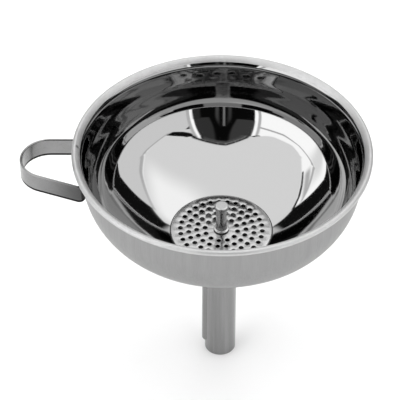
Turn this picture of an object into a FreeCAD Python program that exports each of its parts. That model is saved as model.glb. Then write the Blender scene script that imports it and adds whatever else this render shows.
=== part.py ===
# Stainless steel strainer funnel: a pressed bowl with a rolled rim, a spout tube with a vent rib,
# a loop handle of flat strip, and a loose perforated strainer with a riveted pull knob.
# Millimetres, +Z up. The origin is the centre of the spout's open end, and the handle is on -X.
import FreeCAD
import Part
import math
import os

V = FreeCAD.Vector
Z_AXIS = V(0, 0, 1)

# Whole funnel
overall_height = 122.0
rim_diameter = 130.0

# Bowl sheet: straight band, flared lip, rolled bead, and a dish with a tighter knuckle round it
sheet = 0.5
lip_reach = 4.0
band_below_rim = 11.5
lip_bend = 5.0
bead_diameter = 2.4
bead_end_angle = 200.0
dish_depth = 40.8
knuckle_radius = 30.0

# Spout tube, and the neck of the bowl that it stands in
spout_diameter = 14.2
spout_wall = 0.5
neck_gap = 0.05
neck_length = 6.0
throat_round = 1.2
neck_round = 0.6

# Vent rib pressed out of the spout
rib_radius = 2.1
rib_stand = 1.45
rib_above_end = 4.5
rib_below_neck = 1.5
rib_angle = 188.0
rib_blend = 0.35

# Handle strap
strap_width = 9.0
strap_thickness = 1.0
strap_below_rim = 5.0
handle_beyond_rim = 22.5
loop_radius = 12.3
back_arm_offset = 11.5
front_arm_angle = -21.2
foot_bend = 2.0
foot_length = 8.0
foot_gap = 0.05
weld_mark_diameter = 2.4
weld_mark_depth = 0.15

# Strainer disc
disc_diameter = 45.2
disc_thickness = 0.6
disc_edge_round = 0.2
disc_seat_gap = 0.05
hole_diameter = 2.0
plain_edge = 4.3
first_ring = 2
ring_count = 4
holes_per_step = 6
ring_phases = (21.0, 1.1, 6.4, 9.0)

# Strainer knob
knob_height = 14.5
knob_stem_diameter = 4.8
knob_head_diameter = 6.2
knob_head_thickness = 2.0
knob_head_round = 0.6
knob_flange_diameter = 6.9
knob_flange_thickness = 0.8
knob_shank_diameter = 3.0
shank_gap = 0.05
rivet_head_diameter = 5.0
rivet_head_height = 1.0

# Edges of the raw solids are found by their place, to within this
edge_slack = 0.02

# Places worked out from the sizes above
rim_radius = rim_diameter / 2
rim_z = overall_height
band_radius = rim_radius - lip_reach
band_z = rim_z - band_below_rim
dish_floor_z = band_z - dish_depth
knuckle_across = band_radius - knuckle_radius
knuckle_drop = dish_depth - knuckle_radius
crown_rise = (knuckle_across ** 2 - knuckle_drop ** 2) / (2 * knuckle_drop)
crown_radius = crown_rise + dish_depth
crown_z = band_z + crown_rise
spout_radius = spout_diameter / 2
spout_bore = spout_radius - spout_wall
neck_bore = spout_radius + neck_gap
neck_radius = neck_bore + sheet
neck_end_z = dish_floor_z - neck_length
strap_top_z = rim_z - strap_below_rim
strap_middle_z = strap_top_z - strap_width / 2
foot_circle = band_radius + foot_gap + strap_thickness / 2
foot_turn = math.degrees(foot_length / foot_circle)
disc_radius = disc_diameter / 2
ring_pitch = (disc_radius - plain_edge) / (first_ring + ring_count - 1)


def dish_z(radius, inset=0.0):
    """Height of the dish's crown at a radius: part of a ball, its inner face inset by the sheet."""
    return crown_z - math.sqrt((crown_radius - inset) ** 2 - radius ** 2)


disc_z = dish_z(disc_radius, sheet) + disc_seat_gap
disc_top_z = disc_z + disc_thickness
spout_top_z = dish_z(neck_bore, sheet) - throat_round


def at(centre, radius, degrees):
    """Point at an angle round a centre, in the plane of the revolved profiles (X out, Z up)."""
    turn = math.radians(degrees)
    return V(centre.x + radius * math.cos(turn), 0, centre.z + radius * math.sin(turn))


def profile_arc(centre, radius, start, end):
    """Arc of a revolved profile, from one angle to another."""
    middle = at(centre, radius, (start + end) / 2)
    return Part.Arc(at(centre, radius, start), middle, at(centre, radius, end)).toShape()


def dish_arcs(inset, end_radius):
    """Knuckle and crown of the dish, from the straight band down to a radius near the axis."""
    meet = -math.degrees(math.atan2(crown_rise, knuckle_across))
    crown = crown_radius - inset
    crown_end = -math.degrees(math.acos(end_radius / crown))
    return [
        profile_arc(V(knuckle_across, 0, band_z), knuckle_radius - inset, 0, meet),
        profile_arc(V(0, 0, crown_z), crown, meet, crown_end),
    ]


def revolve(edges):
    """Solid turned about the Z axis from the edges of a closed profile."""
    wire = Part.Wire(Part.sortEdges(edges)[0])
    return Part.Face(wire).revolve(V(0, 0, 0), Z_AXIS, 360)


def round_edges(solid, radius, wanted):
    """Rounds the edges that the test picks out."""
    return solid.makeFillet(radius, [edge for edge in solid.Edges if wanted(edge)])


def circle_edge(radius, z):
    """Test for a full circular edge of a radius at a height."""
    def wanted(edge):
        box = edge.BoundBox
        level = box.ZLength < edge_slack and abs(box.ZMin - z) < edge_slack
        return level and abs(box.XMax - radius) < edge_slack
    return wanted


def funnel_bowl():
    """Pressed bowl: neck, dish, straight band, flared lip and a bead rolled outward."""
    inner = band_radius - sheet
    bead = bead_diameter / 2
    bead_centre = V(rim_radius - bead, 0, rim_z - bead)
    lip_out = inner + lip_bend - bead_centre.x
    lip_up = math.sqrt((lip_bend - bead) ** 2 - lip_out ** 2)
    lip_centre = V(inner + lip_bend, 0, bead_centre.z - lip_up)
    meet = math.degrees(math.atan2(lip_up, -lip_out))
    end = bead_end_angle - 360

    edges = dish_arcs(sheet, neck_bore) + dish_arcs(0, neck_radius) + [
        Part.makeLine(V(inner, 0, band_z), V(inner, 0, lip_centre.z)),
        profile_arc(lip_centre, lip_bend, 180, meet),
        profile_arc(bead_centre, bead, meet, end),
        Part.makeLine(at(bead_centre, bead, end), at(bead_centre, bead - sheet, end)),
        profile_arc(bead_centre, bead - sheet, end, meet),
        profile_arc(lip_centre, lip_bend - sheet, meet, 180),
        Part.makeLine(V(band_radius, 0, lip_centre.z), V(band_radius, 0, band_z)),
        Part.makeLine(V(neck_radius, 0, dish_z(neck_radius)), V(neck_radius, 0, neck_end_z)),
        Part.makeLine(V(neck_radius, 0, neck_end_z), V(neck_bore, 0, neck_end_z)),
        Part.makeLine(V(neck_bore, 0, neck_end_z), V(neck_bore, 0, dish_z(neck_bore, sheet))),
    ]
    bowl = revolve(edges)
    bowl = round_edges(bowl, throat_round, circle_edge(neck_bore, dish_z(neck_bore, sheet)))
    return round_edges(bowl, neck_round, circle_edge(neck_radius, dish_z(neck_radius)))


def rib_capsule(radius):
    """Round-ended bar along the spout that stands for the rib's outside or its hollow."""
    foot = rib_above_end + rib_radius
    head = neck_end_z - rib_below_neck - rib_radius
    out = spout_radius + rib_stand - rib_radius
    bar = Part.makeCylinder(radius, head - foot, V(out, 0, foot))
    balls = [Part.makeSphere(radius, V(out, 0, z)) for z in (foot, head)]
    bar = bar.fuse(balls).removeSplitter()
    bar.rotate(V(0, 0, 0), Z_AXIS, rib_angle)
    return bar


def beside_rib(edge):
    """Test for the edges where the rib leaves the tube, which the press rounds."""
    middle = edge.valueAt((edge.FirstParameter + edge.LastParameter) / 2)
    on_tube = abs(math.hypot(middle.x, middle.y) - spout_radius) < edge_slack
    towards_rib = middle.dot(plan_point(V(0, 0, 0), 1, rib_angle)) > 0
    return on_tube and towards_rib and edge.BoundBox.ZLength > rib_radius / 2


def spout_tube():
    """Tube from the throat of the bowl to the open end, with the vent rib pressed outward."""
    outside = Part.makeCylinder(spout_radius, spout_top_z)
    outside = outside.fuse(rib_capsule(rib_radius)).removeSplitter()
    outside = round_edges(outside, rib_blend, beside_rib)
    bore = Part.makeCylinder(spout_bore, spout_top_z)
    return outside.cut(bore.fuse(rib_capsule(rib_radius - spout_wall)))


def plan_point(centre, radius, degrees, z=0.0):
    """Point at an angle round a centre in plan."""
    turn = math.radians(degrees)
    return V(centre.x + radius * math.cos(turn), centre.y + radius * math.sin(turn), z)


def plan_arc(centre, radius, start, end):
    """Arc in plan at the strap's middle height."""
    turns = (start, (start + end) / 2, end)
    return Part.Arc(*[plan_point(centre, radius, turn, strap_middle_z) for turn in turns]).toShape()


def bearing(point):
    """Angle of a point round the funnel's axis, in degrees from 0 to 360."""
    return math.degrees(math.atan2(point.y, point.x)) % 360


def foot_corner(start, heading, side):
    """Centre of the bend from an arm to its foot: it touches the arm's line and the foot's circle."""
    turn = math.radians(heading)
    along = V(math.cos(turn), math.sin(turn), 0)
    beside = V(-along.y, along.x, 0) * (side * foot_bend)
    origin = start + beside
    reach = foot_circle + foot_bend
    back = origin.dot(along)
    run = -back - math.sqrt(back ** 2 - origin.dot(origin) + reach ** 2)
    return origin + along * run


def handle_path():
    """Middle line of the strap in plan: foot, back arm, loop, front arm, foot."""
    outermost = rim_radius + handle_beyond_rim - strap_thickness / 2
    loop_centre = V(loop_radius - outermost, back_arm_offset - loop_radius, 0)
    front_start = front_arm_angle + 270
    front_tangent = plan_point(loop_centre, loop_radius, front_start)
    back_tangent = plan_point(loop_centre, loop_radius, 90)
    back_corner = foot_corner(back_tangent, 0, -1)
    front_corner = foot_corner(front_tangent, front_arm_angle, 1)
    axis = V(0, 0, 0)
    back_turn = bearing(back_corner)
    front_turn = bearing(front_corner)
    back_arm_end = plan_point(back_corner, foot_bend, 90, strap_middle_z)
    front_arm_end = plan_point(front_corner, foot_bend, front_start, strap_middle_z)
    lift = V(0, 0, strap_middle_z)
    return Part.Wire([
        plan_arc(axis, foot_circle, back_turn + foot_turn, back_turn),
        plan_arc(back_corner, foot_bend, back_turn - 180, 90),
        Part.makeLine(back_arm_end, back_tangent + lift),
        plan_arc(loop_centre, loop_radius, 90, front_start),
        Part.makeLine(front_tangent + lift, front_arm_end),
        plan_arc(front_corner, foot_bend, front_start, front_turn + 180),
        plan_arc(axis, foot_circle, front_turn, front_turn - foot_turn),
    ]), back_turn, front_turn


def strap_section(bearing_angle):
    """Round-edged section of the strip, standing on the foot's circle at an angle round the axis."""
    half = strap_thickness / 2
    straight = strap_width / 2 - half
    section = Part.Wire([
        Part.makeLine(V(-half, 0, -straight), V(-half, 0, straight)),
        Part.Arc(V(-half, 0, straight), V(0, 0, straight + half), V(half, 0, straight)).toShape(),
        Part.makeLine(V(half, 0, straight), V(half, 0, -straight)),
        Part.Arc(V(half, 0, -straight), V(0, 0, -straight - half), V(-half, 0, -straight)).toShape(),
    ])
    section.translate(V(foot_circle, 0, strap_middle_z))
    section.rotate(V(0, 0, 0), Z_AXIS, bearing_angle)
    return section


def weld_mark(bearing_angle, z):
    """Short plug that leaves the shallow round mark of a spot weld on the outside of a foot."""
    out = foot_circle + strap_thickness / 2 - weld_mark_depth
    place = plan_point(V(0, 0, 0), out, bearing_angle, z)
    return Part.makeCylinder(weld_mark_diameter / 2, 2 * weld_mark_depth, place, V(place.x, place.y, 0))


def handle_strap():
    """Flat strip bent to a loop, its two feet lying on the bowl's band under the lip."""
    path, back_turn, front_turn = handle_path()
    sweep = Part.BRepOffsetAPI.MakePipeShell(path)
    sweep.setBiNormalMode(Z_AXIS)
    sweep.add(strap_section(back_turn + foot_turn))
    sweep.build()
    sweep.makeSolid()
    strap = sweep.shape()
    for turn in (back_turn + foot_turn / 2, front_turn - foot_turn / 2):
        for z in (strap_middle_z - strap_width / 4, strap_middle_z + strap_width / 4):
            strap = strap.cut(weld_mark(turn, z))
    return strap


def strainer_disc():
    """Flat disc with rings of holes, a hole for the knob's shank and a slightly rounded edge."""
    disc = Part.makeCylinder(disc_radius, disc_thickness, V(0, 0, disc_z))
    disc = round_edges(disc, disc_edge_round, circle_edge(disc_radius, disc_top_z))
    holes = [Part.makeCylinder(knob_shank_diameter / 2 + shank_gap, disc_thickness, V(0, 0, disc_z))]
    for ring in range(ring_count):
        step = first_ring + ring
        count = holes_per_step * step
        for hole in range(count):
            turn = ring_phases[ring] + 360 * hole / count
            place = plan_point(V(0, 0, 0), ring_pitch * step, turn, disc_z)
            holes.append(Part.makeCylinder(hole_diameter / 2, disc_thickness, place))
    return disc.cut(Part.makeCompound(holes))


def strainer_knob():
    """Turned pin: rivet head under the disc, shank, base flange, stem and round-edged head."""
    flange_z = disc_top_z
    head_z = disc_top_z + knob_height - knob_head_thickness
    top_z = disc_top_z + knob_height
    shank = knob_shank_diameter / 2
    rivet = rivet_head_diameter / 2
    rivet_z = disc_z - rivet_head_height
    crown = (rivet ** 2 + rivet_head_height ** 2) / (2 * rivet_head_height)
    crown_end = -math.degrees(math.acos(rivet / crown))
    stem = knob_stem_diameter / 2
    head = knob_head_diameter / 2
    flange = knob_flange_diameter / 2
    corner = V(head - knob_head_round, 0, top_z - knob_head_round)
    points = [
        V(rivet, 0, disc_z),
        V(shank, 0, disc_z),
        V(shank, 0, flange_z),
        V(flange, 0, flange_z),
        V(flange, 0, flange_z + knob_flange_thickness),
        V(stem, 0, flange_z + knob_flange_thickness),
        V(stem, 0, head_z),
        V(head, 0, head_z),
        V(head, 0, top_z - knob_head_round),
    ]
    edges = [profile_arc(V(0, 0, rivet_z + crown), crown, -90, crown_end)]
    edges += [Part.makeLine(start, end) for start, end in zip(points, points[1:])]
    edges.append(profile_arc(corner, knob_head_round, 0, 90))
    edges.append(Part.makeLine(V(corner.x, 0, top_z), V(0, 0, top_z)))
    edges.append(Part.makeLine(V(0, 0, top_z), V(0, 0, rivet_z)))
    return revolve(edges)


pieces = {
    "funnel_bowl": funnel_bowl,
    "spout_tube": spout_tube,
    "handle_strap": handle_strap,
    "strainer_disc": strainer_disc,
    "strainer_knob": strainer_knob,
}

os.makedirs("parts", exist_ok=True)
for name, make in pieces.items():
    solid = make()
    solid.exportStep("parts/" + name + ".step")
    print(name, solid.isValid(), len(solid.Solids), round(solid.Volume, 1))
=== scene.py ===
# Stainless steel strainer funnel: the finished look of the pressed bowl, ribbed spout, strip handle,
# perforated strainer and its knob. Sizes are in millimetres and go into the meshes in metres.
import math

import bpy
import numpy as np
from mathutils import Matrix, Vector
from mathutils.geometry import delaunay_2d_cdt


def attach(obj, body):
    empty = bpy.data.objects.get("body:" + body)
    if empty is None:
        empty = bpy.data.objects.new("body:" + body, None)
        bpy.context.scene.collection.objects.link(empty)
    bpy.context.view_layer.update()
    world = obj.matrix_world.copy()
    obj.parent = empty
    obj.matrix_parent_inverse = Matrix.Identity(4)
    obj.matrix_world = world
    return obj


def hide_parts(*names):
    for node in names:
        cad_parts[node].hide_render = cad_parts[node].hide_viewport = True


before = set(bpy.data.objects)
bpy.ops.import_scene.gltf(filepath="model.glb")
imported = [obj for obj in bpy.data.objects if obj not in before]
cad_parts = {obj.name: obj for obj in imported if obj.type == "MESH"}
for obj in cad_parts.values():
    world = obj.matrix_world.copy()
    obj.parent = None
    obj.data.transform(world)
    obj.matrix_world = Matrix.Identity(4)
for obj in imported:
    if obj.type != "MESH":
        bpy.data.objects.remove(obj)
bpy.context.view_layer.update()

METRE = 0.001

# ---------------------------------------------------------------- sizes of the funnel, angles in degrees
# The bowl: band, flared lip and rolled bead, then knuckle, dish and neck below. Where two arcs meet, or one
# ends, is given as the angle there.
RIM_Z = 122.0
SHEET = 0.5
BAND_INNER = 60.5
BAND_Z = 110.5
LIP_CENTRE = (65.5, 117.4)
LIP_BEND = 5.0
LIP_MEET = 116.57
BEAD_CENTRE = (63.8, 120.8)
BEAD = 1.2
BEAD_TOP = 75.0
BEAD_END = -160.0
# the lip's satin finish begins outside the first of these radii; inside the second, hidden under the
# strainer, the sheet is painted dark as shade
LIP_SATIN = 61.2
UNDER_STRAINER = 22.0
# the small dent in the lip, with its middle, and half the span of turns that stand closer round it
DENT_ANGLE = 178.4
DENT_RADIUS = 62.3
DENT_CENTRE = (DENT_RADIUS * math.cos(math.radians(DENT_ANGLE)),
               DENT_RADIUS * math.sin(math.radians(DENT_ANGLE)), 121.3)
DENT_REACH = 1.5
DENT_DEPTH = 0.35
DENT_SPAN = 2.4
KNUCKLE_CENTRE = (31.0, 110.5)
KNUCKLE = 30.0
CROWN_Z = 149.59
CROWN = 79.89
DISH_MEET = -51.57
# heights where buffing has taken sheet off, how much each adds to the radius, and how wide each spreads
BUFF_Z = (105.0, 101.0, 97.0, 93.0, 89.0, 85.0, 81.0, 77.0)
BUFF_OUT = (-0.196, 0.074, 0.299, 0.224, 0.263, 0.271, 0.27, 0.259)
BUFF_WIDTH = 3.6
THROAT_ROUND = 1.2
NECK_BORE = 7.15
NECK_ROUND = 0.6
NECK_END_Z = 63.7

# The spout: a tube with a rib, a round-ended bar half sunk in its wall.
SPOUT_RADIUS = 7.1
SPOUT_BORE = 6.6
SPOUT_TOP_Z = 69.32
RIB_RADIUS = 2.1
RIB_OUT = 6.45
RIB_FOOT_Z = 6.6
RIB_HEAD_Z = 60.1
RIB_ANGLE = 188.0
RIB_BLEND = 0.6
RIB_SPAN = 26.0
SPOUT_END_ROUND = 0.12

# The handle: half the strip's thickness, its loop in plan, the slant of its front arm, and its feet.
STRAP_HALF = 0.5
STRAP_WIDTH = 9.0
# height of the strip's lower edge that is painted dark as shade
SHEAR_BAND = 0.85
STRAP_Z = 112.5
LOOP_CENTRE = (-74.7, -0.8)
LOOP_RADIUS = 12.3
FRONT_ARM = -21.2
FOOT_CIRCLE = 61.55
FOOT_BEND = 2.0
FOOT_LENGTH = 8.0
WELD_MARK = 1.2
WELD_DEPTH = 0.15
# centre of the painted shade on the strip, at its front foot
HEAT_CENTRE = (-57.6, -15.3, STRAP_Z)

# The strainer: underside, plate, holes in rings a pitch apart, and the turn of each ring.
DISC_Z = 73.535
DISC_THICK = 0.6
DISC_RADIUS = 22.6
HOLE_RADIUS = 1.0
HOLE_LIP = 0.22
HOLE_SIDES = 28
EDGE_SIDES = 300
EDGE_ROUND = 0.4
KNOB_HOLE = 1.55
RING_PITCH = 3.66
RING_PHASES = (21.0, 1.1, 6.4, 9.0)

# The knob, riveted through the plate.
KNOB_BASE_Z = DISC_Z + DISC_THICK
KNOB_HEIGHT = 14.5
RIVET_DOME = 3.625
SHANK_RADIUS = 1.5
STEM_RADIUS = 2.4
FLANGE_RADIUS = 3.45
HEAD_RADIUS = 3.1


# ---------------------------------------------------------------- shapes
def arc(centre, radius, start, end, count):
    """Points (r, z) of an arc: centre plus radius times the cosine and sine of evenly spaced angles."""
    turn = np.radians(np.linspace(start, end, count))
    return np.stack([centre[0] + radius * np.cos(turn), centre[1] + radius * np.sin(turn)], -1)


def line(start, end, count=2):
    """Points (r, z) evenly spaced on a straight line between two ends."""
    share = np.linspace(0, 1, count)[:, None]
    return np.array(start) * (1 - share) + np.array(end) * share


def join(*parts):
    """One run of points from several, leaving out points that repeat the one before."""
    points = np.concatenate(parts)
    step = np.linalg.norm(np.diff(points, axis=0), axis=1)
    return points[np.concatenate([[True], step > 1e-4])]


def turned(profile, turns):
    """Surface of revolution: each profile point (r, z) goes to (r cos t, r sin t, z) at each angle t."""
    radius, height = profile[:, 0][None], profile[:, 1][None]
    turn = np.asarray(turns)[:, None]
    return np.stack([radius * np.cos(turn), radius * np.sin(turn), height + 0 * turn], -1)


def grid_faces(rows, columns, wrap_rows=True, wrap_columns=True):
    """Four-sided faces of a grid: each joins a point with the next in both directions."""
    index = np.arange(rows * columns).reshape(rows, columns)
    down = np.roll(index, -1, 0)
    right = np.roll(index, -1, 1)
    across = np.roll(down, -1, 1)
    quads = np.stack([index, down, across, right], -1)
    quads = quads if wrap_rows else quads[:-1]
    quads = quads if wrap_columns else quads[:, :-1]
    return quads.reshape(-1, 4)


def volume(points, faces):
    """Volume inside a closed surface: a sixth of the sum of a . (b x c) over its triangles."""
    first = points[faces[:, 0]]
    total = 0.0
    for corner in range(1, faces.shape[1] - 1):
        second, third = points[faces[:, corner]], points[faces[:, corner + 1]]
        total += np.einsum("ij,ij->", first, np.cross(second, third))
    return total / 6


def capped(rings):
    """Points and faces of a row of closed rings; triangles close each end ring to its own centre."""
    rows, count = rings.shape[:2]
    quads = grid_faces(rows, count, wrap_rows=False)
    ring, after = np.arange(count), np.roll(np.arange(count), -1)
    centre, last = np.full(count, rows * count), (rows - 1) * count
    fans = np.concatenate([np.stack([centre, ring, after], -1),
                           np.stack([centre + 1, last + after, last + ring], -1)])
    points = np.concatenate([rings.reshape(-1, 3), rings[:1].mean(1), rings[-1:].mean(1)])
    return points, [quads, fans]


def piece(name, node, points, face_sets, materials, marks=None, crisp=40.0):
    """One closed mesh from points and sets of faces, turned outward, on the body in its node's place."""
    points = points.reshape(-1, 3)
    if sum(volume(points, faces) for faces in face_sets) < 0:
        face_sets = [faces[:, ::-1] for faces in face_sets]
    loops = np.concatenate([faces.ravel() for faces in face_sets])
    sizes = np.concatenate([np.full(len(faces), faces.shape[1]) for faces in face_sets])
    mesh = bpy.data.meshes.new(name)
    mesh.vertices.add(len(points))
    mesh.vertices.foreach_set("co", (points * METRE).ravel())
    mesh.loops.add(len(loops))
    mesh.loops.foreach_set("vertex_index", loops)
    mesh.polygons.add(len(sizes))
    mesh.polygons.foreach_set("loop_start", np.concatenate([[0], np.cumsum(sizes)[:-1]]))
    mesh.update(calc_edges=True)
    for material in materials:
        mesh.materials.append(material)
    if marks is not None:
        mesh.polygons.foreach_set("material_index", marks)
    mesh.polygons.foreach_set("use_smooth", np.ones(len(sizes), bool))
    mesh.set_sharp_from_angle(angle=math.radians(crisp))
    mesh.validate()
    made = bpy.data.objects.new(name, mesh)
    bpy.context.collection.objects.link(made)
    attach(made, "root")
    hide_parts(node)
    return made


# ---------------------------------------------------------------- materials
def srgb(code):
    """Linear colour from a hex code: each channel c becomes ((c + 0.055) / 1.055) ** 2.4, or c / 12.92."""
    values = [int(code[i:i + 2], 16) / 255 for i in (0, 2, 4)]
    return tuple(((c + 0.055) / 1.055) ** 2.4 if c > 0.04045 else c / 12.92 for c in values) + (1.0,)


def node(tree, kind, links=None, inputs=None, **settings):
    """Adds a node: links join its inputs to outputs, inputs give them values, and settings are the rest."""
    made = tree.nodes.new(kind)
    for key, value in settings.items():
        setattr(made, key, value)
    for key, value in (inputs or {}).items():
        made.inputs[key].default_value = value
    for key, output in (links or {}).items():
        tree.links.new(output, made.inputs[key])
    return made


def steel(name, colours, roughness, grain, bump, tone=None, wave=None):
    """Steel in a fine grain and a broader tone. The grain (repeats per mm in x, y and z) moves the gloss
    between two values and lifts the surface by a height in mm, the tone moves between the two colours, and
    the wave is a slow swell of a width and a height in mm."""
    material = bpy.data.materials.new(name)
    material.use_nodes = True
    tree = material.node_tree
    shader = tree.nodes["Principled BSDF"]
    shader.inputs["Metallic"].default_value = 1.0
    place = node(tree, "ShaderNodeTexCoord").outputs["Object"]

    def pattern(repeats, detail):
        stretch = node(tree, "ShaderNodeMapping", {"Vector": place},
                       inputs={"Scale": [repeat / METRE for repeat in repeats]})
        return node(tree, "ShaderNodeTexNoise", {"Vector": stretch.outputs["Vector"]},
                    inputs={"Scale": 1.0, "Detail": detail, "Roughness": 0.6}).outputs["Fac"]

    fine = pattern(grain, 3.0)
    gloss = node(tree, "ShaderNodeMapRange", {"Value": fine},
                 inputs={"From Min": 0.3, "From Max": 0.7, "To Min": roughness[0], "To Max": roughness[1]})
    tree.links.new(gloss.outputs["Result"], shader.inputs["Roughness"])
    relief = node(tree, "ShaderNodeBump", {"Height": fine}, inputs={"Distance": bump * METRE})
    if tone:
        blend = node(tree, "ShaderNodeMix", {"Factor": pattern(tone, 2.0)}, data_type="RGBA",
                     inputs={6: srgb(colours[0]), 7: srgb(colours[1])})
        tree.links.new(blend.outputs[2], shader.inputs["Base Color"])
    else:
        shader.inputs["Base Color"].default_value = srgb(colours[0])
    if wave:
        swell = pattern((1 / wave[0],) * 3, 1.0)
        relief = node(tree, "ShaderNodeBump", {"Height": swell, "Normal": relief.outputs["Normal"]},
                      inputs={"Distance": wave[1] * METRE})
    tree.links.new(relief.outputs["Normal"], shader.inputs["Normal"])
    return material


def darken(material, least, dark, full, centre=None):
    """Darkens part of a steel: its colour times a share that goes smoothly from the least to one, as a
    measure in mm goes from the dark value to the full one: the distance to a centre, or else the height."""
    tree = material.node_tree
    base = tree.nodes["Principled BSDF"].inputs["Base Color"]
    place = node(tree, "ShaderNodeTexCoord").outputs["Object"]
    if centre:
        measure = node(tree, "ShaderNodeVectorMath", {0: place}, operation="DISTANCE",
                       inputs={1: [c * METRE for c in centre]}).outputs["Value"]
    else:
        measure = node(tree, "ShaderNodeSeparateXYZ", {"Vector": place}).outputs["Z"]
    share = node(tree, "ShaderNodeMapRange", {"Value": measure}, interpolation_type="SMOOTHSTEP",
                 inputs={"From Min": dark * METRE, "From Max": full * METRE, "To Min": least, "To Max": 1.0})
    tint = node(tree, "ShaderNodeMix", {7: share.outputs["Result"]}, data_type="RGBA",
                blend_type="MULTIPLY", inputs={0: 1.0, 6: base.default_value})
    if base.is_linked:
        tree.links.new(base.links[0].from_socket, tint.inputs[6])
    tree.links.new(tint.outputs[2], base)


# 304 stainless sheet, pressed and buffed inside: a mirror with a trace of haze and slow waves of pressing.
buffed_steel = steel("buffed_stainless", ["ADADAD"], (0.03, 0.05), (1.2, 1.2, 1.2), 0.0002, wave=(30, 0.02))
# Painted shade: the colour darkens up the steep wall, towards the rim.
darken(buffed_steel, 0.8, dark=106.0, full=94.0)
# The same sheet outside, drawn in the press and pickled: satin with faint upright marks.
satin_steel = steel("drawn_satin_stainless", ["8E8E8E", "9C9C9C"], (0.38, 0.5), (2.2, 2.2, 0.12), 0.002,
                    tone=(0.35, 0.35, 0.02))
# Painted shade: the sheet round the neck, under the strainer, coloured dull and dark so that the holes over
# it look black.
throat_steel = steel("painted_shade_stainless", ["484848"], (0.3, 0.45), (1.0, 1.0, 1.0), 0.001)
# The lip and the rolled bead, rubbed even and pale by the rolling tools.
lip_steel = steel("rolled_satin_stainless", ["BCBCBC", "D0D0D0"], (0.5, 0.62), (0.9, 0.9, 0.9), 0.002,
                  tone=(0.2, 0.2, 0.2))
# Painted shade on it: a dark spot in the dent over the handle's back foot.
darken(lip_steel, 0.4, dark=0.3, full=1.5, centre=DENT_CENTRE)
# Drawn tube: greyer satin with fine marks along its length.
tube_steel = steel("drawn_stainless_tube", ["787878", "A0A0A0"], (0.18, 0.28), (3.0, 3.0, 0.06), 0.002,
                   tone=(0.4, 0.4, 0.015))
# Cold rolled strip, tumbled so that its edges shine.
strip_steel = steel("tumbled_stainless_strip", ["848484", "969696"], (0.2, 0.28), (1.0, 1.0, 1.0), 0.0004,
                    tone=(0.12, 0.12, 0.25))
# Painted shade: the strip darkens towards its front foot, where it meets the bowl.
darken(strip_steel, 0.22, dark=0.0, full=26.0, centre=HEAT_CENTRE)
# Painted shade: the strip's lower edge, facing down, coloured as a dull dark line.
sheared_steel = steel("painted_edge_shade_stainless", ["1C1C1C"], (0.35, 0.5), (1.0, 1.0, 1.0), 0.002)
# Punched strainer plate: bright, with the fine even haze of tumbling.
plate_steel = steel("punched_stainless_plate", ["A6A6A6", "BABABA"], (0.14, 0.22), (2.5, 2.5, 2.5), 0.001,
                    tone=(0.3, 0.3, 0.3))
# Knob turned on a lathe and polished.
rod_steel = steel("turned_stainless_rod", ["B4B4B4"], (0.16, 0.24), (0.3, 0.3, 5.0), 0.0006)


# ---------------------------------------------------------------- bowl
def bowl_profile():
    """Closed profile of the bowl in two runs: up the inside to the bead, and round the bead, down the outside
    and round the neck. Buffing has taken a little off the inside: its radius gains a sum of bell curves,
    out exp(-((z - at) / width)^2)."""
    neck_outer = NECK_BORE + SHEET
    inner_crown = CROWN - SHEET
    throat_out = NECK_BORE + THROAT_ROUND
    throat = (throat_out, CROWN_Z - math.sqrt((inner_crown + THROAT_ROUND) ** 2 - throat_out ** 2))
    throat_end = math.degrees(math.atan2(CROWN_Z - throat[1], -throat[0]))
    dish_start = math.degrees(math.atan2(throat[1] - CROWN_Z, throat[0]))
    fillet_out = neck_outer + NECK_ROUND
    fillet = (fillet_out, CROWN_Z - math.sqrt((CROWN + NECK_ROUND) ** 2 - fillet_out ** 2))
    fillet_start = math.degrees(math.atan2(CROWN_Z - fillet[1], -fillet[0]))
    dish_end = math.degrees(math.atan2(fillet[1] - CROWN_Z, fillet[0]))
    inside = join(
        arc(throat, THROAT_ROUND, 180, throat_end, 8),
        arc((0, CROWN_Z), inner_crown, dish_start, DISH_MEET, 46),
        arc(KNUCKLE_CENTRE, KNUCKLE - SHEET, DISH_MEET, 0, 46),
        line((BAND_INNER, BAND_Z), (BAND_INNER, LIP_CENTRE[1]), 7),
        arc(LIP_CENTRE, LIP_BEND, 180, LIP_MEET, 12),
        arc(BEAD_CENTRE, BEAD, LIP_MEET, BEAD_TOP, 6),
    )
    bells = np.exp(-((inside[:, 1:] - np.array(BUFF_Z)) / BUFF_WIDTH) ** 2)
    inside[:, 0] += (bells @ np.array(BUFF_OUT)) * (inside[:, 0] > UNDER_STRAINER)
    outside = join(
        arc(BEAD_CENTRE, BEAD, BEAD_TOP, BEAD_END, 20)[1:],
        arc(BEAD_CENTRE, BEAD - SHEET, BEAD_END, LIP_MEET, 12),
        arc(LIP_CENTRE, LIP_BEND - SHEET, LIP_MEET, 180, 8),
        line((BAND_INNER + SHEET, LIP_CENTRE[1]), (BAND_INNER + SHEET, BAND_Z), 5),
        arc(KNUCKLE_CENTRE, KNUCKLE, 0, DISH_MEET, 22),
        arc((0, CROWN_Z), CROWN, DISH_MEET, dish_end, 16),
        arc(fillet, NECK_ROUND, fillet_start, 180, 6),
        line((neck_outer, fillet[1]), (neck_outer, NECK_END_Z), 3),
        line((neck_outer, NECK_END_Z), (NECK_BORE, NECK_END_Z), 2),
        line((NECK_BORE, NECK_END_Z), (NECK_BORE, throat[1]), 4)[:-1],
    )
    return inside, outside


def dent(points, centre, reach, depth, along):
    """Points pressed in by a round dent: one at distance d from its centre moves along a direction by
    depth (1 - d^2 / reach^2)^2."""
    away = np.linalg.norm(points - centre, axis=-1, keepdims=True)
    return points + depth * np.maximum(1 - (away / reach) ** 2, 0) ** 2 * along


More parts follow.
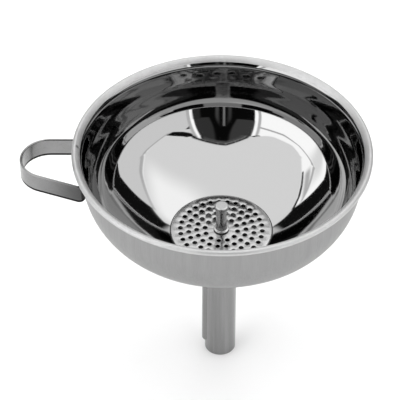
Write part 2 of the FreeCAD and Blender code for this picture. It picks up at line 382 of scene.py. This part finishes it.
def bowl():
    """The pressed bowl: its profile turned about z, with a small dent in the lip over the handle's back foot,
    where the turns stand closer."""
    inside, outside = bowl_profile()
    profile = np.concatenate([inside, outside])
    fine = np.radians(np.linspace(DENT_ANGLE - DENT_SPAN, DENT_ANGLE + DENT_SPAN, 25))
    coarse = np.radians(np.linspace(DENT_ANGLE + DENT_SPAN, DENT_ANGLE + 360 - DENT_SPAN, 410))[1:-1]
    turns = np.concatenate([fine, coarse])
    points = turned(profile, turns)
    press = dent(points, np.array(DENT_CENTRE), DENT_REACH, DENT_DEPTH, np.array([0.0, 0.0, -1.0]))
    upper = np.arange(len(profile)) < len(inside)
    points = np.where(upper[None, :, None], press, points)
    lip = (profile[:, 0] > LIP_SATIN) & (profile[:, 1] > LIP_CENTRE[1])
    # painted shade: the inside under the strainer takes the dark steel
    hidden = (profile[:, 0] < UNDER_STRAINER) & upper
    finish = np.select([lip, hidden, upper], [2, 3, 0], 1)
    return piece("bowl", "funnel_bowl", points, [grid_faces(len(turns), len(profile))],
                 [buffed_steel, satin_steel, lip_steel, throat_steel], np.tile(finish, len(turns)))


# ---------------------------------------------------------------- spout
def rib_face(turn, height, base, radius):
    """Radius of a tube wall with the rib: the smooth greater of the base and a round-ended bar's surface,
    out cos t + sqrt(b^2 - (out sin t)^2), where b is the bar's radius at that height."""
    past = np.maximum(RIB_FOOT_Z - height, 0) + np.maximum(height - RIB_HEAD_Z, 0)
    bar = np.sqrt(np.maximum(radius ** 2 - past ** 2, 0))
    side = RIB_OUT * np.sin(turn)
    facing = np.cos(turn) > 0
    bump = RIB_OUT * np.cos(turn) + np.sqrt(np.maximum(bar ** 2 - side ** 2, 0))
    bump = np.where(facing & (bar > np.abs(side)), bump, base - 2 * RIB_BLEND)
    near = np.maximum(RIB_BLEND - np.abs(base - bump), 0) / RIB_BLEND
    return np.maximum(base, bump) + near ** 2 * RIB_BLEND / 4


def spout():
    """The tube as a grid of angles and heights, (r cos t, r sin t, z): outer wall down, rounded end, inner
    wall up, rounded top. It is finer round the rib and its ends."""
    fine = np.radians(np.linspace(-RIB_SPAN, RIB_SPAN, 79))
    coarse = np.radians(np.linspace(RIB_SPAN, 360 - RIB_SPAN, 110))[1:-1]
    turns = np.concatenate([fine, coarse])
    # heights where the steps change: they are finer at the rib's two ends
    stops = [SPOUT_TOP_Z - SPOUT_END_ROUND, 63.2, 59.5, 7.5, 3.6, SPOUT_END_ROUND]
    steps = [5, 25, 39, 27, 5]
    heights = np.concatenate([line([high], [low], count + 1)[:-1, 0]
                              for high, low, count in zip(stops, stops[1:], steps)] + [stops[-1:]])
    turn, height = np.meshgrid(turns, heights, indexing="ij")
    outer = rib_face(turn, height, SPOUT_RADIUS, RIB_RADIUS)
    inner = rib_face(turn, height[:, ::-1], SPOUT_BORE, RIB_RADIUS - (SPOUT_RADIUS - SPOUT_BORE))
    foot = np.array([(SPOUT_RADIUS - 0.04, 0.035), (SPOUT_RADIUS - SPOUT_END_ROUND, 0.0),
                     (SPOUT_BORE + SPOUT_END_ROUND, 0.0), (SPOUT_BORE + 0.04, 0.035)])
    head = foot[::-1] * [1, -1] + [0, SPOUT_TOP_Z]
    ones = np.ones((len(turns), 1))
    radius = np.concatenate([outer, foot[:, 0] * ones, inner, head[:, 0] * ones], 1)
    z = np.concatenate([height, foot[:, 1] * ones, height[:, ::-1], head[:, 1] * ones], 1)
    around = (turns + math.radians(RIB_ANGLE))[:, None]
    points = np.stack([radius * np.cos(around), radius * np.sin(around), z], -1)
    return piece("spout", "spout_tube", points, [grid_faces(*points.shape[:2])],
                 [tube_steel], crisp=50)


# ---------------------------------------------------------------- handle
def heading_of(angle):
    """Direction in plan at an angle in degrees: its cosine and sine."""
    return np.array([math.cos(math.radians(angle)), math.sin(math.radians(angle))])


def foot_corner(start, angle, side):
    """Centre of the bend from an arm to its foot: it touches the arm's line and the foot's circle."""
    along = heading_of(angle)
    origin = start + np.array([-along[1], along[0]]) * side * FOOT_BEND
    back = origin @ along
    run = -back - math.sqrt(back ** 2 - origin @ origin + (FOOT_CIRCLE + FOOT_BEND) ** 2)
    return origin + along * run


def handle_line():
    """Middle line of the strip in plan: foot, back arm, loop, front arm, foot."""
    loop = np.array(LOOP_CENTRE)
    front_start = FRONT_ARM + 270
    foot_turn = math.degrees(FOOT_LENGTH / FOOT_CIRCLE)
    back_corner = foot_corner(loop + np.array([0, LOOP_RADIUS]), 0, -1)
    front_corner = foot_corner(loop + LOOP_RADIUS * heading_of(front_start), FRONT_ARM, 1)
    back_turn = math.degrees(math.atan2(back_corner[1], back_corner[0])) % 360
    front_turn = math.degrees(math.atan2(front_corner[1], front_corner[0])) % 360

    foot_points, bend_points, loop_points, arm_points = 36, 14, 110, 14
    foot_back = arc((0, 0), FOOT_CIRCLE, back_turn + foot_turn, back_turn, foot_points)
    bend_back = arc(back_corner, FOOT_BEND, back_turn - 180, 90, bend_points)
    round_loop = arc(loop, LOOP_RADIUS, 90, front_start, loop_points)
    bend_front = arc(front_corner, FOOT_BEND, front_start, front_turn + 180, bend_points)
    foot_front = arc((0, 0), FOOT_CIRCLE, front_turn, front_turn - foot_turn, foot_points)
    return join(foot_back, bend_back, line(bend_back[-1], round_loop[0], arm_points), round_loop,
                line(round_loop[-1], bend_front[0], arm_points), bend_front, foot_front)


def handle():
    """The strip: a round-edged section, side by up, carried along the middle line, with p + across side in
    plan and z + up. It is pressed in where the spot welds are, and its ends are capped."""
    path = handle_line()
    heading = np.gradient(path, axis=0)
    heading /= np.linalg.norm(heading, axis=1)[:, None]
    across = np.stack([-heading[:, 1], heading[:, 0]], -1)
    straight = STRAP_WIDTH / 2 - STRAP_HALF
    flat = np.linspace(-straight, straight, 31)
    rounds = np.radians(np.linspace(0, 180, 13))[1:-1]
    side = np.concatenate([np.full(len(flat), -STRAP_HALF), -STRAP_HALF * np.cos(rounds),
                           np.full(len(flat), STRAP_HALF), STRAP_HALF * np.cos(rounds)])
    up = np.concatenate([flat, straight + STRAP_HALF * np.sin(rounds), flat[::-1],
                         -straight - STRAP_HALF * np.sin(rounds)])
    x = path[:, :1] + across[:, :1] * side
    y = path[:, 1:] + across[:, 1:] * side
    rings = np.stack([x, y, STRAP_Z + up + 0 * x], -1)
    outer = (side > 0)[None, :, None]
    run = np.concatenate([[0], np.cumsum(np.linalg.norm(np.diff(path, axis=0), axis=1))])
    for spot in (FOOT_LENGTH / 2, run[-1] - FOOT_LENGTH / 2):
        row = np.argmin(np.abs(run - spot))
        inward = np.array([-across[row, 0], -across[row, 1], 0.0])
        for rise in (-STRAP_WIDTH / 4, STRAP_WIDTH / 4):
            centre = np.array([*(path[row] + across[row] * STRAP_HALF), STRAP_Z + rise])
            rings = np.where(outer, dent(rings, centre, WELD_MARK, WELD_DEPTH, inward), rings)
    ends = [ring.mean(0) + (ring - ring.mean(0)) * [0.9, 0.9, 0.98] for ring in (rings[0], rings[-1])]
    points, face_sets = capped(np.concatenate([[ends[0]], rings, [ends[1]]]))
    heights = [points[faces, 2].mean(1) for faces in face_sets]
    # the lower edge takes the painted shade
    marks = np.concatenate([height < STRAP_Z - straight + SHEAR_BAND for height in heights]).astype(int)
    return piece("handle", "handle_strap", points, face_sets,
                 [strip_steel, sheared_steel], marks, crisp=50)


# ---------------------------------------------------------------- strainer
def strainer():
    """The plate: a rounded lip turned about each hole's axis and one turned about the plate's, both from top
    to underside, and flat triangles that fill both sides between them."""
    centres, radii = [np.zeros((1, 2))], [np.array([KNOB_HOLE])]
    for ring, phase in enumerate(RING_PHASES, 2):
        centres.append(arc((0, 0), RING_PITCH * ring, phase, phase + 360 * (1 - 1 / (6 * ring)), 6 * ring))
        radii.append(np.full(6 * ring, HOLE_RADIUS))
    centres, radii = np.concatenate(centres), np.concatenate(radii)
    top, under = DISC_Z + DISC_THICK, DISC_Z
    lip = np.concatenate([arc((HOLE_LIP, top - HOLE_LIP), HOLE_LIP, 90, 180, 5),
                          [(0.0, under + 0.05), (0.05, under)]])
    edge = np.concatenate([arc((DISC_RADIUS - EDGE_ROUND, top - EDGE_ROUND), EDGE_ROUND, 90, 0, 5),
                           [(DISC_RADIUS, under + 0.06), (DISC_RADIUS - 0.06, under)]])
    around = np.linspace(0, 2 * np.pi, HOLE_SIDES, endpoint=False)
    rim_turns = np.linspace(0, 2 * np.pi, EDGE_SIDES, endpoint=False)
    out = radii[:, None, None] + lip[:, 0][None, :, None]
    walls = np.stack([centres[:, 0][:, None, None] + out * np.cos(around),
                      centres[:, 1][:, None, None] + out * np.sin(around),
                      lip[:, 1][None, :, None] + 0 * out * around], -1)
    rim = np.swapaxes(turned(edge, rim_turns), 0, 1)

    wall_size, hole_count = len(lip) * HOLE_SIDES, len(radii)
    starts = np.arange(hole_count)[:, None, None] * wall_size
    wall_faces = (grid_faces(len(lip), HOLE_SIDES, wrap_rows=False)[None, :, ::-1] + starts).reshape(-1, 4)
    rim_faces = grid_faces(len(edge), EDGE_SIDES, wrap_rows=False) + hole_count * wall_size
    points = np.concatenate([walls.reshape(-1, 3), rim.reshape(-1, 3)])
    hole_ids = np.arange(hole_count)[:, None] * wall_size + np.arange(HOLE_SIDES)
    rim_ids = hole_count * wall_size + np.arange(EDGE_SIDES)
    top_ids = np.concatenate([hole_ids.ravel(), rim_ids])
    under_ids = np.concatenate([(hole_ids + wall_size - HOLE_SIDES).ravel(),
                                rim_ids + (len(edge) - 1) * EDGE_SIDES])

    flat = points[top_ids, :2]
    hole_next = np.roll(np.arange(hole_ids.size).reshape(hole_ids.shape), -1, 1).ravel()
    rim_next = hole_ids.size + np.roll(np.arange(EDGE_SIDES), -1)
    edges = np.stack([np.arange(len(flat)), np.concatenate([hole_next, rim_next])], -1)
    triangles = np.array(delaunay_2d_cdt([Vector(p) for p in flat], edges.tolist(), [], 0, 1e-6)[2])
    middle = flat[triangles].mean(1)
    gap = np.linalg.norm(middle[:, None] - centres[None], axis=2) - radii - HOLE_LIP
    triangles = triangles[(gap > -0.005).all(1) & (np.linalg.norm(middle, axis=1) < DISC_RADIUS - EDGE_ROUND)]
    first, second, third = (flat[triangles[:, i]] for i in range(3))
    ccw = np.cross(second - first, third - first) > 0
    triangles = np.where(ccw[:, None], triangles, triangles[:, ::-1])
    flat_faces = np.concatenate([top_ids[triangles], under_ids[triangles][:, ::-1]])
    marks = np.repeat([0, 1, 0], [len(wall_faces), len(rim_faces), len(flat_faces)])
    return piece("strainer", "strainer_disc", points,
                 [np.concatenate([wall_faces, rim_faces]), flat_faces], [plate_steel, lip_steel], marks,
                 crisp=35)


# ---------------------------------------------------------------- knob
def knob():
    """The turned knob: a profile turned about z, with the rivet head under the plate and the flange, stem
    and head above it."""
    z = KNOB_BASE_Z
    top = z + KNOB_HEIGHT
    profile = join(
        arc((0, DISC_Z + RIVET_DOME - 1), RIVET_DOME, -87, -46.4, 10),
        [(SHANK_RADIUS, DISC_Z - 0.001), (SHANK_RADIUS, z + 0.001)],
        line((SHANK_RADIUS + 0.2, z), (FLANGE_RADIUS - 0.1, z)),
        arc((FLANGE_RADIUS - 0.25, z + 0.55), 0.25, 0, 90, 5),
        arc((STEM_RADIUS + 0.25, z + 1.05), 0.25, 270, 180, 5),
        arc((STEM_RADIUS + 0.2, top - 2.2), 0.2, 180, 90, 4),
        arc((HEAD_RADIUS - 0.2, top - 1.8), 0.2, 270, 360, 4),
        arc((HEAD_RADIUS - 0.6, top - 0.6), 0.6, 0, 90, 9),
        line((STEM_RADIUS, top), (0.2, top), 8),
    )
    rings = np.swapaxes(turned(profile, np.linspace(0, 2 * np.pi, 120, endpoint=False)), 0, 1)
    points, face_sets = capped(rings)
    # painted shade: the flange's side is coloured dull and dark
    middles = [points[faces].mean(1) for faces in face_sets]
    flange = [(np.hypot(at[:, 0], at[:, 1]) > 2.9) & (at[:, 2] < z + 0.6) & (at[:, 2] > z) for at in middles]
    marks = np.concatenate(flange).astype(int)
    return piece("knob", "strainer_knob", points, face_sets,
                 [rod_steel, throat_steel], marks, crisp=45)


bowl()
spout()
handle()
strainer()
knob()


# ---------------------------------------------------------------- camera
IMAGE = 400
FOCAL = 2091.47
ELEVATION = math.radians(42.58)
DISTANCE = 900.5
ROLL = math.radians(0.13)
RIM_CENTRE_PIXEL = (222.29, 148.3)


def camera():
    """Camera in front of the funnel, placed so that the rim's centre falls on its pixel."""
    back = np.array([0, -math.cos(ELEVATION), math.sin(ELEVATION)])
    level = np.array([1.0, 0, 0])
    rise = np.cross(back, level)
    right = math.cos(ROLL) * level + math.sin(ROLL) * rise
    up = math.cos(ROLL) * rise - math.sin(ROLL) * level
    aside = (RIM_CENTRE_PIXEL[0] - IMAGE / 2) / FOCAL * DISTANCE
    above = -(RIM_CENTRE_PIXEL[1] - IMAGE / 2) / FOCAL * DISTANCE
    eye = np.array([0, 0, RIM_Z]) - (aside * right + above * up - DISTANCE * back)
    data = bpy.data.cameras.new("camera")
    data.sensor_width = 36
    data.lens = FOCAL / IMAGE * data.sensor_width
    data.clip_start, data.clip_end = 0.01, 50
    made = bpy.data.objects.new("camera", data)
    turn = Matrix([list(row) for row in np.stack([right, up, back], -1)])
    made.matrix_world = Matrix.Translation(Vector(eye * METRE)) @ turn.to_4x4()
    bpy.context.collection.objects.link(made)
    bpy.context.scene.camera = made


camera()
bpy.context.scene.view_settings.view_transform = "Standard"


# ---------------------------------------------------------------- studio
# how far out the panels' plane is painted, and the share of light that the buffed steel gives back
FAR = 60.0
STEEL_SHARE = 0.42


def band(points, width):
    """Four-cornered pieces along a run of points, each as wide as given below the run."""
    return [[start, end, (end[0], end[1] - width), (start[0], start[1] - width)]
            for start, end in zip(points, points[1:])]


# The light tent, painted in this order on a plane above the funnel: the corners (x and y over z) of a convex
# panel, the grey that shows in the steel, and how soft its edge is. The front has an opening, and the room is
# dark behind the tent.
PANELS = [
    # left and right walls of the tent, and the grey seam round its roof
    ([(-FAR, -FAR), (-0.6, -FAR), (-0.6, 0.87), (-1.17, 0.86), (-2.31, 0.79), (-3.5, 0.59),
      (-FAR, -9)], 248, 0.02),
    ([(-8.0, -0.9), (-1.4, 0.1), (-1.1, 0.64), (-2.31, 0.56), (-3.3, 0.34)], 214, 0.2),
    ([(0.6, -FAR), (FAR, -FAR), (FAR, -7), (3.9, 0.52), (2.1, 0.743), (1.465, 0.789), (0.92, 0.84),
      (0.6, 0.85)], 198, 0.02),
    ([(-1.0, 0.84), (-1.2, 0.6), (-1.36, 0.36), (-1.43, 0.06), (-1.44, -0.3), (-1.25, -0.74), (-0.6, -1.05),
      (0.97, -0.72), (1.14, -0.1), (1.09, 0.3), (0.79, 0.87)], 168, 0.02),
    ([(-0.95, 0.84), (-1.13, 0.6), (-1.28, 0.36), (-1.36, 0.06), (-1.37, -0.3), (-1.16, -0.66), (-0.6, -0.93),
      (0.91, -0.66), (1.06, -0.1), (1.01, 0.3), (0.71, 0.87)], 246, 0.02),
    # a fold in the right wall
    ([(-1.24, 0.3), (-1.08, 0.33), (-1.0, 0.6), (-0.97, 0.8), (-1.12, 0.72)], 172, 0.06),
    # roof of the tent, brighter on one side, with the gap where two cloths meet
    ([(-0.79, 0.88), (-0.9, 0.68), (-0.96, 0.5), (-1.03, 0.24), (-1.09, -0.05), (-1.1, -0.3), (-0.79, -0.55),
      (0.0, -0.6), (0.93, -0.63), (1.05, -0.1), (1.0, 0.3), (0.72, 0.87)], 209, 0.03),
    ([(-0.9, 0.85), (0.8, 0.85), (0.66, 1.06), (-0.6, 1.09), (-0.7, 0.99)], 208, 0.02),
    ([(0.1, 1.02), (0.2, 0.25), (0.92, 0.1), (0.72, 0.9), (0.6, 1.02)], 240, 0.18),
    ([(-0.85, 0.88), (-0.955, 0.68), (-0.9, 0.68), (-0.79, 0.88)], 20, 0.008),
    ([(-0.955, 0.68), (-1.01, 0.5), (-0.96, 0.5), (-0.9, 0.68)], 20, 0.008),
    ([(-1.01, 0.5), (-1.06, 0.28), (-1.02, 0.28), (-0.96, 0.5)], 70, 0.01),
    # front edge of the roof, the dark flap beside the opening, and the opening's bright borders
    ([(-0.8, -0.605), (-0.045, -0.365), (-0.045, -0.9), (-0.6, -0.93), (-1.0, -0.72)], 246, 0.015),
    ([(-0.045, -0.365), (0.92, -0.635), (0.85, -0.76), (-0.045, -0.9)], 205, 0.015),
    ([(0.3, -0.44), (0.93, -0.62), (0.85, -0.75), (0.6, -0.7), (0.42, -0.6)], 14, 0.02),
    ([(-0.47, -0.5), (-0.045, -0.38), (0.335, -0.46), (31.3, -FAR), (-33.8, -FAR)], 172, 0.02),
    ([(-0.425, -0.5), (-0.045, -0.37), (0.29, -0.455), (28.3, -FAR), (-30.8, -FAR)], 252, 0.015),
    *[(corners, 12, 0.008) for corners in band(
        [(-0.52, -0.515), (-0.35, -0.46), (-0.155, -0.393), (-0.045, -0.36), (0.045, -0.37), (0.2, -0.403),
         (0.43, -0.463), (0.93, -0.62)], 0.028)],
    # the dark room seen through the opening, with the greys of what stands there
    ([(-0.365, -0.49), (-0.155, -0.42), (-0.045, -0.385), (0.05, -0.395), (0.245, -0.44), (25.3, -FAR),
      (-27.8, -FAR)], 8, 0.015),
    ([(0.07, -0.42), (0.24, -0.45), (0.335, -0.65), (0.52, -1.09), (0.70, -1.53), (0.305, -1.53),
      (0.151, -0.974), (0.088, -0.578)], 46, 0.03),
    ([(0.49, -1.45), (0.68, -1.45), (25.3, -FAR), (18.0, -FAR)], 40, 0.05),
    ([(-0.072, -0.416), (-0.36, -0.49), (-0.51, -0.78), (-0.79, -1.39), (-0.336, -1.39), (-0.164, -0.868),
      (-0.087, -0.512)], 54, 0.03),
    ([(0.06, -1.1), (0.13, -1.4), (5.0, -FAR), (2.0, -FAR)], 62, 0.05),
    ([(-0.02, -0.9), (-0.05, -0.9), (-2.6, -FAR), (-1.0, -FAR)], 112, 0.02),
    ([(-0.12, -1.1), (-0.19, -1.3), (-8.0, -FAR), (-5.0, -FAR)], 52, 0.05),
    *[(corners, 70, 0.012) for corners in band(
        [(-0.34, -0.492), (-0.155, -0.425), (-0.045, -0.39), (0.05, -0.4), (0.22, -0.445)], 0.03)],
    # back of the tent, in shade
    ([(-0.6, 1.12), (0.6, 1.1), (30.0, FAR), (-28.0, FAR)], 175, 0.05),
]
ROOM_GREY = 14
# flatter directions than this z are painted like it
LOWEST = 0.015
# the paper's colour, and its size and height in mm
FLOOR_GREY = "F6F6F6"
FLOOR_HALF = 4000.0
FLOOR_Z = -0.05
LAMP_ENERGY = 0.31


def lit(grey):
    """Light that steel shows as this grey: the grey made linear, over the share that the steel reflects."""
    code = "%02X" % grey
    return srgb(code * 3)[0] / STEEL_SHARE


def studio():
    """World light: a tent of panels by direction, and plain white where the camera looks past the floor."""
    world = bpy.data.worlds.new("light_tent")
    bpy.context.scene.world = world
    world.use_nodes = True
    tree = world.node_tree
    tree.nodes.clear()
    place = node(tree, "ShaderNodeTexCoord")
    split = node(tree, "ShaderNodeSeparateXYZ", {"Vector": place.outputs["Generated"]})
    height = node(tree, "ShaderNodeMath", {0: split.outputs["Z"]}, operation="MAXIMUM", inputs={1: LOWEST})
    across = node(tree, "ShaderNodeMath", {0: split.outputs["X"], 1: height.outputs[0]}, operation="DIVIDE")
    along = node(tree, "ShaderNodeMath", {0: split.outputs["Y"], 1: height.outputs[0]}, operation="DIVIDE")
    plane = node(tree, "ShaderNodeCombineXYZ", {"X": across.outputs[0], "Y": along.outputs[0]},
                 inputs={"Z": 1.0})
    value = None
    for corners, grey, soft in PANELS:
        points = np.array(corners)
        area = np.sum(points[:, 0] * np.roll(points[:, 1], -1) - np.roll(points[:, 0], -1) * points[:, 1])
        points = points if area > 0 else points[::-1]
        mask = None
        for start, end in zip(points, np.roll(points, -1, 0)):
            edge = (end - start) / np.linalg.norm(end - start)
            normal = np.array([-edge[1], edge[0]])
            reach = node(tree, "ShaderNodeVectorMath", {0: plane.outputs[0]}, operation="DOT_PRODUCT",
                         inputs={1: (normal[0], normal[1], -float(normal @ start))})
            step = node(tree, "ShaderNodeMapRange", {"Value": reach.outputs["Value"]},
                        interpolation_type="SMOOTHSTEP", inputs={"From Min": -soft, "From Max": soft})
            mask = step.outputs["Result"] if mask is None else node(
                tree, "ShaderNodeMath", {0: mask, 1: step.outputs["Result"]}, operation="MULTIPLY").outputs[0]
        mix = node(tree, "ShaderNodeMix", {"Factor": mask}, data_type="FLOAT",
                   inputs={2: lit(ROOM_GREY), 3: lit(grey)})
        if value is not None:
            tree.links.new(value, mix.inputs[2])
        value = mix.outputs[0]
    tent = node(tree, "ShaderNodeBackground", {"Color": value}, inputs={"Strength": 1.0})
    paper = node(tree, "ShaderNodeBackground", inputs={"Color": (1, 1, 1, 1), "Strength": 1.0})
    seen = node(tree, "ShaderNodeLightPath")
    choose = node(tree, "ShaderNodeMixShader",
                  {0: seen.outputs["Is Camera Ray"], 1: tent.outputs[0], 2: paper.outputs[0]})
    node(tree, "ShaderNodeOutputWorld", {"Surface": choose.outputs[0]})


def floor():
    """Wide pale sheet that the funnel stands on."""
    corners = np.array([(x * FLOOR_HALF, y * FLOOR_HALF, FLOOR_Z)
                        for x, y in ((-1, -1), (1, -1), (1, 1), (-1, 1))])
    mesh = bpy.data.meshes.new("paper")
    mesh.from_pydata((corners * METRE).tolist(), [], [(0, 1, 2, 3)])
    paper = bpy.data.materials.new("white_paper")
    paper.use_nodes = True
    shader = paper.node_tree.nodes["Principled BSDF"]
    shader.inputs["Base Color"].default_value = srgb(FLOOR_GREY)
    shader.inputs["Roughness"].default_value = 0.9
    shader.inputs["Emission Color"].default_value = (1, 1, 1, 1)
    shader.inputs["Emission Strength"].default_value = 0.02
    mesh.materials.append(paper)
    made = bpy.data.objects.new("paper", mesh)
    bpy.context.collection.objects.link(made)


def side_lamps():
    """Four wide soft lamps round the funnel that light the paper alone: the steel doesn't mirror them."""
    for turn in (45, 135, 225, 315):
        data = bpy.data.lights.new("side_lamp", "SUN")
        data.energy, data.angle = LAMP_ENERGY, math.radians(70)
        made = bpy.data.objects.new("side_lamp", data)
        made.rotation_euler = (math.radians(58), 0, math.radians(turn))
        made.visible_glossy = False
        bpy.context.collection.objects.link(made)


studio()
floor()
side_lamps()
